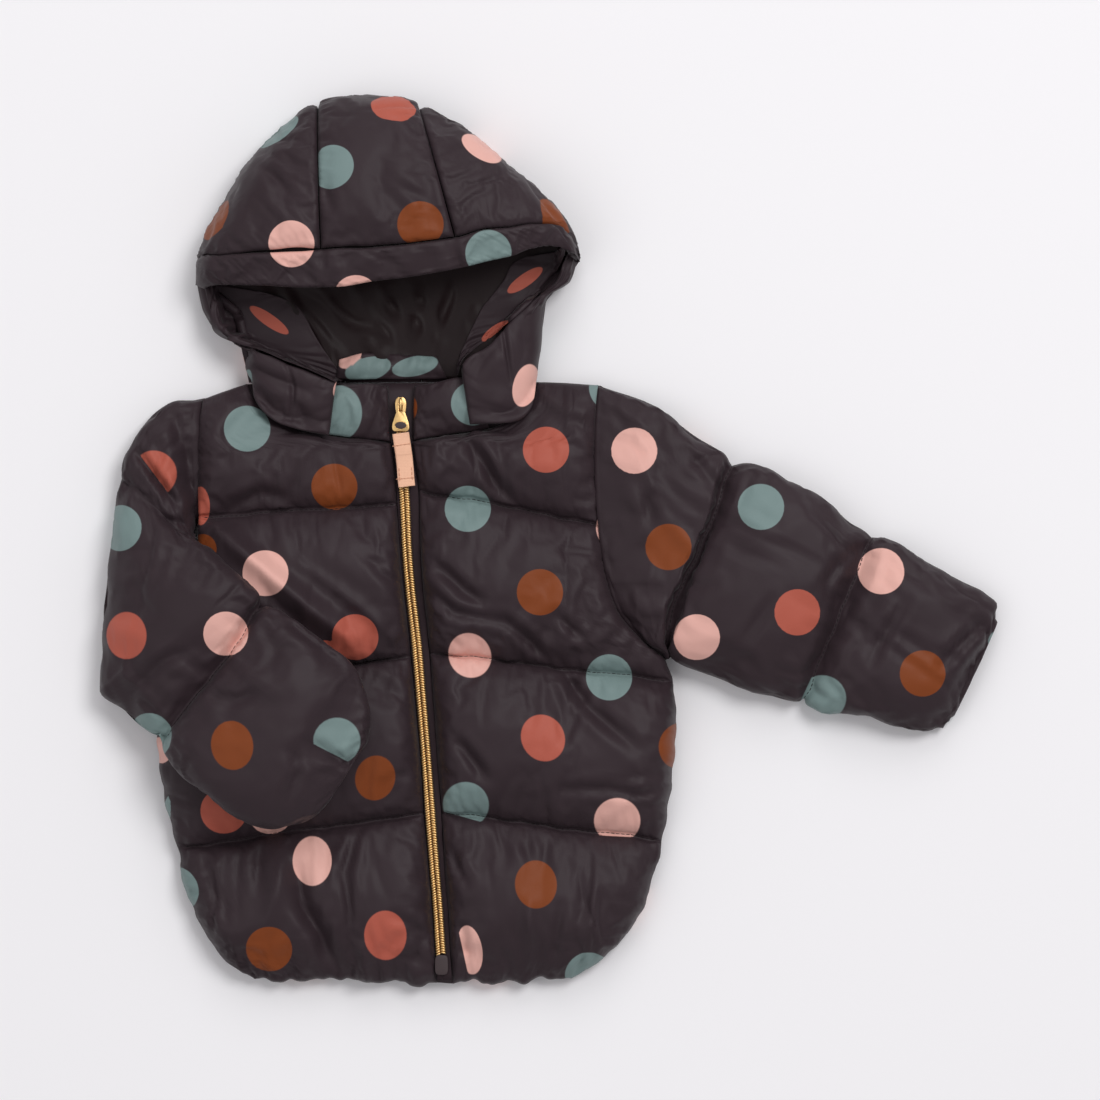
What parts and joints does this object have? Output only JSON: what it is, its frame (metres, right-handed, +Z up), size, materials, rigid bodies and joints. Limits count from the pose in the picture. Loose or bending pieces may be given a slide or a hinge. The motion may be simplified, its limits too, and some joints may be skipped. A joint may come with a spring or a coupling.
{
  "type": "puffer jacket",
  "caption": "Hooded padded jacket for a baby, zipped at the front, laid flat on its back with one sleeve out and the other folded over the front.",
  "frame": {"origin": "middle of the outline box, on the surface that the jacket lies on", "axes": "+X towards the sleeve that is laid out (the wearer's left), +Y towards the hood, +Z up from the surface, out of the fronts"},
  "size_m": [0.5386, 0.5318, 0.0665],
  "materials": {
    "shell": "dark brown-grey satin woven nylon with large dots in teal, pink, brick and rust",
    "lining": "dark brown plain lining with a soft sheen",
    "tape": "dark woven zip tape",
    "brass": "warm gold metal, lightly polished",
    "stop": "dark painted metal",
    "ribbon": "peach grosgrain ribbon, doubled"
  },
  "bodies": {
    "jacket": {"back_panel": "shell", "right_front": "shell", "left_front": "shell", "left_sleeve": "shell", "right_sleeve": "shell", "hood_right": "shell", "hood_centre": "shell", "hood_left": "shell", "hood_band": "shell", "hood_lining": "lining", "hood_facing_right": "shell", "hood_facing_left": "shell", "hood_flank_right": "shell", "hood_flank_left": "shell", "chin_right": "shell", "chin_left": "shell", "band_end_right": "shell", "band_end_left": "shell", "collar_right": "shell", "collar_left": "shell", "collar_back": "shell", "zip_tape_right": "tape", "zip_tape_left": "tape", "zip_chain": "brass", "zip_slider": "brass", "zip_stop": "stop"},
    "pull_tab": {"zip_puller": "brass", "pull_ribbon": "ribbon"}
  },
  "joints": [
    {"name": "pull_lift", "type": "hinge", "parent": "jacket", "child": "pull_tab", "pos_m": [-0.0894, 0.0806, 0.02185], "axis": [-1, 0, 0], "range_deg": [0, 140]}
  ]
}
